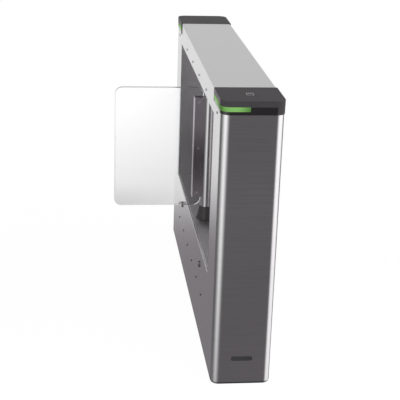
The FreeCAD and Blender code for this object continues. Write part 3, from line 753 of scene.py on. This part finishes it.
def dark_trims():
    """The glossy trim: a strip carried under the light, and a plate that fills the end beside it."""
    low, high = span("near_cap_trim")
    light_low, light_high = span("near_light_guide")
    edges = [trim_edge, hidden_edge, hidden_edge, lower_edge]

    def section(top):
        return rectangle((-light_depth, -trim_recess), (low[2], top - trim_gap), edges, steps=3)[0]

    ends = np.array([[light_high[0], light_low[1]], [high[0], light_low[1]]])
    beside = in_plan(ends, np.tile([0.0, -1.0], (2, 1)))
    grids = [(carried(*round_the_light(light_high[0]), section(light_low[2])), TUBE),
             (carried(*beside, section(high[2])), TUBE)]
    both_ends("dark_trim", "dark_gloss", grids, "cap_trim")


def card_sign():
    """A plain card outline with a stripe, printed on the near lid: a thin ring and a thin bar."""
    top = span("near_cap_lid")[1][2]
    outer, out = rectangle(card_x, card_y, card_corner, steps=6)
    line = np.array([[0.0, 0.0], [0.0, card_raise], [-card_line, card_raise], [-card_line, 0.0]])
    ring = carried(*in_plan(outer, out), line + np.array([0.0, top]))
    bar_y = card_y[1] - stripe_drop
    bar = plate((card_x[0] + stripe_inset, card_x[1] - stripe_inset), (bar_y, bar_y + stripe_width),
                stripe_corner, [(0.0, top), (0.0, top + card_raise)], steps=3, hold=0.1)
    piece("card_sign", "cabinet", "cap_plastic", [(ring, RING), (bar, TUBE)], (), "card_ink")


# Sensors, badge and screws

def on_lane_face(profile, places, sides):
    """A profile turned at each place (y, z) of the lane face; its heights run out of the face, along -X."""
    outwards = np.array([1.0, -1.0])
    return [(turned(profile * outwards, (lane_face(), y, z), "x", sides), TURN) for y, z in places]


def small_eyes():
    """Each eye is a turned ring round a turned dark lens."""
    low, high = span("sensor_eyes")
    proud, back = lane_face() - low[0], lane_face() - high[0]
    ring = np.array([[2.4, back], [eye_radius, back], [eye_radius, proud - 0.9], [3.9, proud - 0.4],
                     [3.5, proud - 0.1], [3.0, proud], [2.7, proud - 0.15], [eye_lens, proud - 0.7],
                     [2.4, back]])
    lens = np.vstack([[0.0, back + 1.0], [eye_lens, back + 1.0],
                      dome(eye_lens, 0.9) + np.array([0.0, proud - 1.1])])
    upper = [(y, upper_eye_z) for y in upper_eyes]
    lower = [(y, lower_eye_z) for y in lower_eyes]
    piece("eye_rings", "cabinet", "dark_gloss", on_lane_face(ring, lower, 32), ("sensor_eyes",),
          "black_plastic")
    piece("upper_eye_rings", "cabinet", "dark_gloss", on_lane_face(ring, upper, 32), (), "machined_steel")
    piece("eye_lenses", "cabinet", "dark_gloss", on_lane_face(lens, upper + lower, 24))


def beam_heads():
    """Larger eyes: a turned bezel with a chamfer on a barrel, and a turned bright lens domed out of it."""
    low, high = span("beam_sensors")
    proud, back = lane_face() - low[0], lane_face() - high[0]
    seat = -1.0
    rim = np.array([[bezel_radius, 0.0], [bezel_radius, proud - 2.4], [13.6, proud - 1.5],
                    [11.6, proud - 0.3], [10.6, proud], [9.8, proud - 0.2], [8.0, proud - 1.5],
                    [bezel_bore, proud - 2.6], [bezel_bore, seat]])
    bezel = np.vstack([rim, [barrel_radius, seat], [barrel_radius, 0.0], rim[:1]])
    barrel = np.array([[0.0, back], [barrel_radius, back], [barrel_radius, seat], [0.0, seat]])
    lens = np.vstack([[0.0, seat + 0.2], [beam_lens, seat + 0.2],
                      dome(beam_lens, 2.4) + np.array([0.0, proud - 2.2])])
    places = [(y, beam_z) for y in beam_eyes]
    shells = []
    for place in places:
        shells += on_lane_face(bezel, [place], 48) + on_lane_face(barrel, [place], 32)
    piece("beam_bezels", "cabinet", "black_plastic", shells, ("beam_sensors",), "dark_chrome")
    piece("beam_glasses", "cabinet", "dark_gloss", on_lane_face(lens, places, 40), ("beam_lenses",),
          "screw_steel")


def bare_badge():
    """A plate with round ends, a raised border and a sunk plain field."""
    low, high = span("front_badge")
    radius = (high[2] - low[2]) / 2.0 - 0.2
    back, front = high[1], low[1]
    field = front + badge_field_depth
    levels = [(0.3, back), (0.0, back - 0.2), (0.0, front + 0.5), (0.15, front + 0.15), (0.5, front),
              (1.3, front), (1.6, front + 0.15), (1.7, field), (2.0, field)]
    rows = plate((low[0], high[0]), (low[2], high[2]), radius, levels, steps=10, hold=0.05)
    piece("bare_badge", "cabinet", "dark_gloss", [(facing("y", rows), TUBE)], ("front_badge",),
          "badge_plastic")


def socket_screw(centre, axis, head, rise, out):
    """A screw head with a six-sided socket, turned about its axis: in the socket the radius is the flat's
    distance over cos of the angle from that flat's middle. Heights run the way out says."""
    sides, socket, crown, shoulder = 48, 0.45, 0.72, 0.28
    t = np.linspace(0.0, 2.0 * math.pi, sides, endpoint=False)
    flat = head * socket / np.cos((t + math.pi / 6.0) % (math.pi / 3.0) - math.pi / 6.0)
    slope = np.radians(np.linspace(0.0, 75.0, 6))
    round_radius = head * (crown + shoulder * np.cos(slope))
    round_height = rise * np.sin(slope) / math.sin(slope[-1])
    axis_line = np.zeros(sides)
    radius = np.stack([axis_line] + [np.full(sides, r) for r in round_radius]
                      + [flat * 1.06, flat, flat * 0.97, axis_line], 1)
    height = np.concatenate([[0.0], round_height, [rise, rise - 0.15, rise * 0.35, rise * 0.25]])
    points = np.stack([radius * np.cos(t)[:, None], radius * np.sin(t)[:, None],
                       np.broadcast_to(out * height, radius.shape)], -1)
    return np.asarray(centre) + facing(axis, points), TURN


def clamp_bolts():
    """Button heads on both faces of the clamp and the shanks between them."""
    grids = []
    shank = np.array([[0.0, -clamp_face], [clamp_shank, -clamp_face], [clamp_shank, clamp_face],
                      [0.0, clamp_face]])
    for z in clamp_screw_z:
        for out in (-1.0, 1.0):
            place = (clamp_screw_x, out * clamp_face, z)
            grids.append(socket_screw(place, "y", clamp_head, clamp_head_rise, out))
        grids.append((turned(shank, (clamp_screw_x, 0.0, z), "y", 24), TURN))
    piece("clamp_bolts", "wing", "screw_steel", grids, ("clamp_screws",))


def panel_bolts():
    """Countersunk heads flush with the outer panel, on plain shanks."""
    face = span("outer_side_panel")[1][0]
    shank = np.array([[0.0, panel_shank_end], [panel_shank, panel_shank_end], [panel_shank, -2.0],
                      [panel_head + 0.1, -0.2], [0.0, -0.2]])
    grids = []
    for y in panel_screw_y:
        for z in panel_screw_z:
            grids.append(socket_screw((face - panel_head_rise, y, z), "x", panel_head, panel_head_rise, 1.0))
            grids.append((turned(shank, (face, y, z), "x", 24), TURN))
    piece("panel_bolts", "cabinet", "screw_steel", grids, ("outer_panel_screws",))


# Wing

def round_the_pivot(profile):
    """A profile turned about the wing's upright axis."""
    return [(turned(profile, (pivot_x, 0.0, 0.0), "z", 96), TURN)]


def post_skin():
    """The polished tube: a wall turned about the pivot, with softened rims."""
    low, high = span("post_tube")
    wall = rectangle((post_radius - post_wall, post_radius), (low[2], high[2]), post_edge, steps=3)[0]
    piece("post_skin", "wing", "polished_steel", round_the_pivot(np.vstack([wall, wall[:1]])), ("post_tube",))


def collar_skin():
    """The cone at the post's foot: a lip at the floor, a straight flank and a rolled top, turned."""
    low, high = span("post_collar")
    base = (high[0] - low[0]) / 2.0
    bore = post_radius + collar_clearance
    top = high[2] - collar_roll
    roll = round_corner((bore + collar_roll, top), collar_roll, 0.0, steps=5, hold=0.0)[0]
    lip = np.array([[0.4, 0.0], [0.0, 0.4], [0.0, 2.4], [0.5, 3.0], [1.4, 3.2]])
    lip = np.column_stack([base - lip[:, 0], low[2] + lip[:, 1]])
    profile = np.vstack([[bore, low[2]], lip, roll, [bore, top], [bore, low[2]]])
    piece("collar_skin", "cabinet", "black_plastic", round_the_pivot(profile), ("post_collar",))


def wing_sheet():
    """The clear sheet: a plate with round corners and softened polished edges. Mirrors look past it."""
    low, high = span("wing_panel")
    levels = soft_levels(low[1], high[1], wing_edge, wing_edge)
    rows = plate((low[0], high[0]), (low[2], high[2]), wing_corner, levels, steps=14)
    made = piece("wing_sheet", "wing", "clear_acrylic", [(facing("y", rows), TUBE)], ("wing_panel",))
    made.visible_glossy = False


def jaw_skins():
    """Both clamp jaws: a bar whose back is hollowed by the post, drawn upwards with its edges softened.
    Insets follow the outline's own outward directions."""
    low, high = span("front_clamp_jaw")
    hollow = post_radius + jaw_clearance
    front, back = low[1], high[1]
    outer = round_corner((low[0] + jaw_edge, front + jaw_edge), jaw_edge, 180.0)
    inner = round_corner((low[0] + jaw_inner_edge, back - jaw_inner_edge), jaw_inner_edge, 90.0, steps=3)
    t = math.pi + np.linspace(math.asin(-front / hollow), math.asin(-back / hollow), 12)
    seat = np.column_stack([pivot_x + hollow * np.cos(t), hollow * np.sin(t)])
    seat_out = -np.column_stack([np.cos(t), np.sin(t)])
    outline = np.vstack([outer[0], seat, inner[0]])
    out = np.vstack([outer[1], seat_out, inner[1]])
    rows = np.stack([np.column_stack([outline - inset * out, np.full(len(outline), z)])
                     for inset, z in soft_levels(low[2], high[2], jaw_end_edge, jaw_end_edge, steps=3)])
    piece("jaw_front", "wing", "clamp_metal", [(rows, TUBE)], ("front_clamp_jaw",))
    piece("jaw_rear", "wing", "clamp_metal", [(mirrored(rows), TUBE)], ("rear_clamp_jaw",))


def dress():
    """Every new piece, then a finish on every node that still shows."""
    for make in (rolled_shells, lane_sheet, window_bead, cover_sheet, cap_lids, cap_bodies, light_strips,
                 dark_trims, card_sign, small_eyes, beam_heads, bare_badge, clamp_bolts, panel_bolts,
                 post_skin, collar_skin, wing_sheet, jaw_skins):
        make()
    # The bay floor gets its darker copy of the bay steel: painted shade.
    own_finish = {"bay_floor": "shaded_bay_floor_steel"}
    for part in frame["record"]["subparts"]:
        node = frame["nodes"][part["node"]]
        node.data.materials.clear()
        node.data.materials.append(finishes[own_finish.get(part["node"], part["material_slot"])])


# Studio

def seen_plain(flow):
    """1 for rays from the camera, also through the clear sheet, that have met no mirror on their way."""
    def path(output):
        return flow.node("ShaderNodeLightPath", {}, {}, output)
    return path("Is Camera Ray").most(path("Is Transmission Ray") * path("Glossy Depth").rise(0.9, 0.1))


def towards(x, y, bearing):
    """The cosine of the angle, seen from above, between a direction and a bearing in degrees from +X."""
    turn = math.radians(bearing)
    return (x * math.cos(turn) + y * math.sin(turn)) / ((x * x + y * y) ** 0.5).most(0.01)


def stage_sheet(name, corners, cloth, hidden):
    """One four-sided face of the studio, hidden from the kinds of rays named."""
    mesh = bpy.data.meshes.new(name)
    mesh.from_pydata(corners, [], [(0, 1, 2, 3)])
    made = bpy.data.objects.new(name, mesh)
    bpy.context.scene.collection.objects.link(made)
    mesh.materials.append(cloth)
    for rays in hidden:
        setattr(made, "visible_" + rays, False)


def studio_floor():
    """A pale floor. Seen plainly it glows to the white of the backdrop and keeps a faint shadow."""
    size = 30.0

    def shader(flow):
        paper = flow.place().noise(3.0, 2.0).tint(grey(0.80), grey(0.82))
        matt = flow.node("ShaderNodeBsdfDiffuse", {}, {"Color": paper})
        faint = flow.node("ShaderNodeBsdfDiffuse", {}, {"Color": rgb(0.06, 0.06, 0.06)})
        return seen_plain(flow).blend(matt, faint.lit(WHITE, 0.96))
    corners = [(-size, -size, 0.0), (size, -size, 0.0), (size, size, 0.0), (-size, size, 0.0)]
    stage_sheet("studio_floor", corners, material("floor_paper", shader), ("glossy",))


def soft_panel(name, start, end, low, high, shader):
    """An upright lamp between two points of the plan, which only mirrors and matt surfaces see."""
    corners = [(*start, low), (*end, low), (*end, high), (*start, high)]
    stage_sheet(name, corners, material(name + "_cloth", shader), ("camera", "transmission", "shadow"))


def left_lamp():
    """A tall soft panel close to the front left, just beside the view. With s metres from its middle and z
    up, its light is 1.22 (0.92 + 0.55 z) / (1 + (s / 0.5)^2)."""
    level, width = 1.22, 0.5
    middle, along = np.array([-0.76, -1.26]), np.array([0.5, -0.866])

    def shader(flow):
        place = flow.place()
        s = place.part("X") * along[0] + place.part("Y") * along[1] - float(middle @ along)
        return flow.glow((place.part("Z") * 0.55 + 0.92) * level / (s * s / width ** 2 + 1.0))
    soft_panel("left_lamp", middle - 1.5 * along, middle + 1.1 * along, -0.6, 1.6, shader)


def right_lamp():
    """A tall soft panel at the right of the near end, clear where it is dark. Its light follows the cosine of
    the angle, seen from the near right corner, from a bearing of -13 degrees at its head and 0 at its foot,
    and grows upwards as 1.36 + 0.30 z."""
    lamp_x, corner_x, corner_y = 1.0, 0.09, -0.74
    head_bearing, foot_bearing = -13.0, 0.0

    def shader(flow):
        place = flow.place()
        x, y, z = lamp_x - corner_x, place.part("Y") - corner_y, place.part("Z")
        foot = z.rise(0.51, -0.42)
        spread = towards(x, y, head_bearing) * (1.0 - foot) + towards(x, y, foot_bearing) * foot
        return flow.node("ShaderNodeBsdfTransparent").lit(spread.rise(0.62, 0.98) * (z * 0.30 + 1.36))
    soft_panel("right_lamp", (lamp_x, -2.7), (lamp_x, 0.0), -1.2, 1.8, shader)


def studio_light():
    """Light as a function of direction, the largest of three. A white backdrop behind the object is dark at
    its foot and dims a little upwards. A dim room is lighter at the left. A ceiling is brightest halfway up
    and on the camera's side. Rays seen plainly get plain white."""
    world = bpy.data.worlds.new("studio")
    bpy.context.scene.world = world
    world.use_nodes = True
    tree = world.node_tree
    tree.nodes.clear()
    flow = Flow(tree)
    way = flow.node("ShaderNodeTexCoord", {}, {}, "Generated")
    x, y, z = (way.part(axis) for axis in "XYZ")
    foot = z.rise(-0.366, -0.303) * 0.70 + z.rise(-0.26, -0.20) * 0.05 + 0.25
    backdrop = (foot - z.rise(-0.15, 0.25) * 0.15) * towards(x, y, 90.0).rise(0.80, 0.90)
    room = 0.148 - z * 0.04 + towards(x, y, 200.0).rise(0.3, 0.85) * 0.17
    overhead = z.rise(0.12, 0.60) * (1.0 - z.rise(0.50, 0.90) * 0.85)
    ceiling = overhead * (1.0 - towards(x, y, 84.0).rise(0.2, 0.8) * 0.35) * 1.5
    light = backdrop.most(room).most(ceiling)
    tone = light.rise(0.2, 0.9).tint(rgb(1.0, 0.94, 0.99), WHITE)
    studio = flow.node("ShaderNodeBackground", {}, {"Color": tone, "Strength": light})
    plain = flow.node("ShaderNodeBackground", {}, {"Color": WHITE, "Strength": 1.0})
    flow.node("ShaderNodeOutputWorld", {}, {"Surface": seen_plain(flow).blend(studio, plain)})


def studio_camera():
    """The photograph's view: placed and turned as the cabinet's straight edges say."""
    place = (-0.57136, -4.10910, 1.86631)
    yaw, pitch, roll = -0.1213, -0.3392, -0.0342
    lens = bpy.data.cameras.new("camera")
    lens.sensor_width = 36.0
    lens.lens = 100.03
    lens.clip_end = 100.0
    camera = bpy.data.objects.new("camera", lens)
    bpy.context.scene.collection.objects.link(camera)
    turn = (Matrix.Rotation(yaw, 4, "Z") @ Matrix.Rotation(pitch, 4, "X") @ Matrix.Rotation(roll, 4, "Y")
            @ Matrix.Rotation(math.pi / 2.0, 4, "X"))
    camera.matrix_world = Matrix.Translation(place) @ turn
    bpy.context.scene.camera = camera


dress()
studio_floor()
left_lamp()
right_lamp()
studio_light()
studio_camera()
bpy.context.scene.view_settings.view_transform = "Standard"
